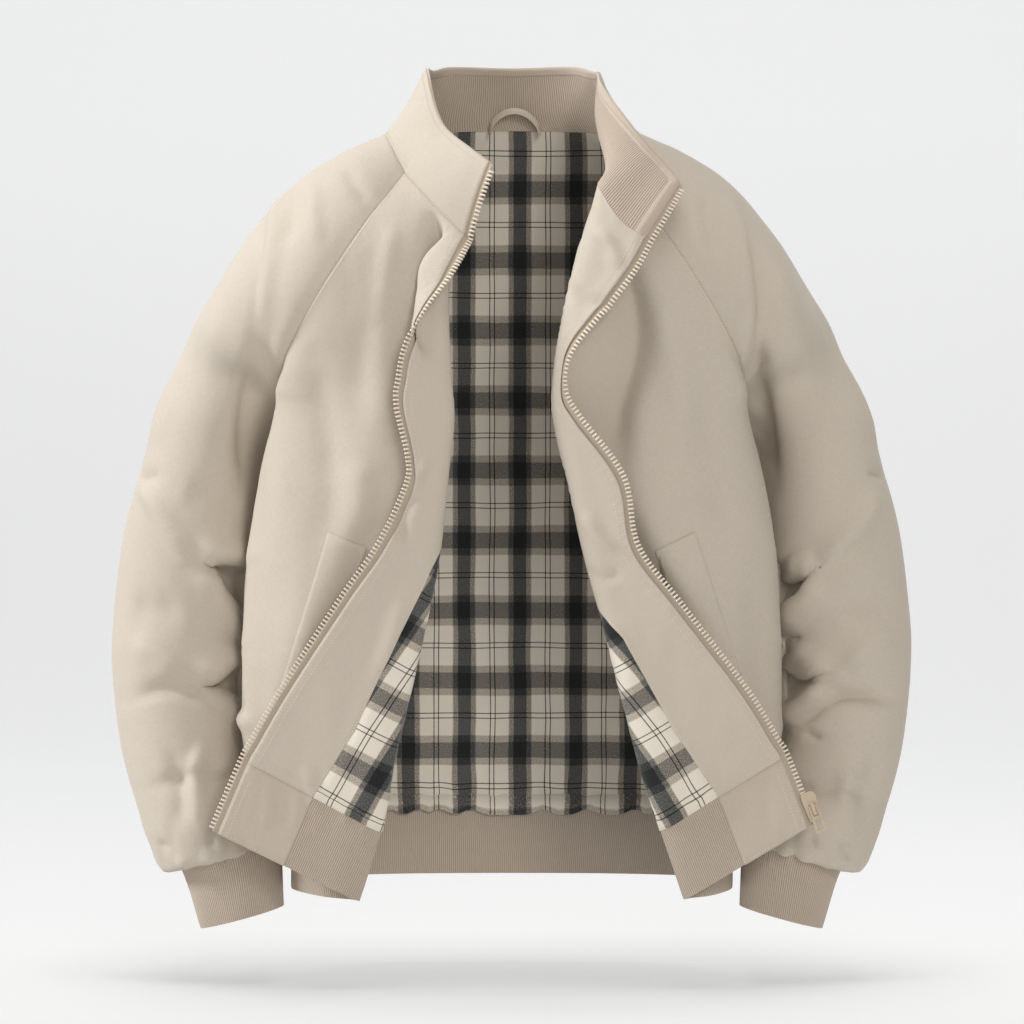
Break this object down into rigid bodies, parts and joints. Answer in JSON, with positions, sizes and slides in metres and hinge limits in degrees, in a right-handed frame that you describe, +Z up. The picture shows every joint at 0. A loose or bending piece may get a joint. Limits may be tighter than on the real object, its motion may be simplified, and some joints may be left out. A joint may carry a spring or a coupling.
{
  "type": "zip-front jacket",
  "caption": "Zip-front harrington jacket with raglan sleeves, stand collar, plaid lining, rib cuffs and hem, worn open in a hollow standing form.",
  "frame": {"origin": "centre of the neck opening at the level of the collar seam at the back, where the wearer's neck and shoulders hold the jacket up", "axes": "+Z up to the collar, -Y the jacket's front, +X the wearer's left"},
  "size_m": [0.7338, 0.2829, 0.7925],
  "materials": {
    "shell_cotton": "plain beige cotton poplin",
    "rib_knit": "fine vertical rib knit, beige",
    "plaid_lining": "brushed plaid in cream, grey and near black",
    "zip_tape": "woven beige tape",
    "zip_teeth": "moulded beige teeth",
    "zip_metal": "satin beige painted metal"
  },
  "bodies": {
    "jacket": {"back_panel": "shell_cotton", "front_panel_left": "shell_cotton", "front_panel_right": "shell_cotton", "sleeve_left": "shell_cotton", "sleeve_right": "shell_cotton", "collar_outer": "shell_cotton", "hem_tab_left": "shell_cotton", "hem_tab_right": "shell_cotton", "facing_left": "shell_cotton", "facing_right": "shell_cotton", "collar_edge_strip": "shell_cotton", "pocket_welt_left": "shell_cotton", "pocket_welt_right": "shell_cotton", "hanger_loop": "shell_cotton", "collar_inner": "rib_knit", "hem_rib": "rib_knit", "cuff_left": "rib_knit", "cuff_right": "rib_knit", "lining_back": "plaid_lining", "lining_front_left": "plaid_lining", "lining_front_right": "plaid_lining", "zip_tape_left": "zip_tape", "zip_tape_right": "zip_tape", "zip_teeth_left": "zip_teeth", "zip_teeth_right": "zip_teeth", "zip_slider": "zip_metal"},
    "pull_tab": {"zip_pull": "zip_metal"}
  },
  "joints": [
    {"name": "pull_swing", "type": "hinge", "parent": "jacket", "child": "pull_tab", "pos_m": [0.2662, -0.13005, -0.61161], "axis": [-0.9326, 0.0288, -0.3599], "range_deg": [0, 150]}
  ]
}
